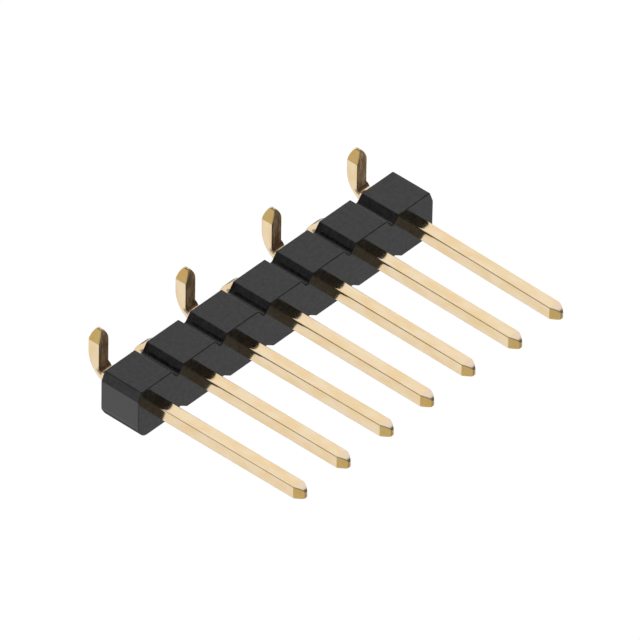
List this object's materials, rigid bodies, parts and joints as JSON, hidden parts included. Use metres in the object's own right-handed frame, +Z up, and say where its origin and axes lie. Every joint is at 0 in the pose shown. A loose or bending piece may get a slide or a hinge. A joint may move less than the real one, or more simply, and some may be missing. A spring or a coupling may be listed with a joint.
{
  "type": "pin header",
  "caption": "Straight single-row surface-mount pin header: square gold-plated posts in a notched black strip, with solder tails bent to either side in turn.",
  "frame": {"origin": "under the middle of the row, in the plane of the tails' soles, where the header stands on its board", "axes": "+X along the row, +Y towards the tails of the odd contacts, +Z up the posts, the way a mating socket leaves"},
  "size_m": [0.0174, 0.0044, 0.0114],
  "materials": {
    "insulator_plastic": "satin black moulded thermoplastic with a fine mould grain",
    "contact_gold": "bright gold plating over drawn square wire, with fine lines along the wire"
  },
  "bodies": {
    "root": {"insulator": "insulator_plastic", "pin_1": "contact_gold", "pin_2": "contact_gold", "pin_3": "contact_gold", "pin_4": "contact_gold", "pin_5": "contact_gold", "pin_6": "contact_gold", "pin_7": "contact_gold"}
  },
  "joints": []
}
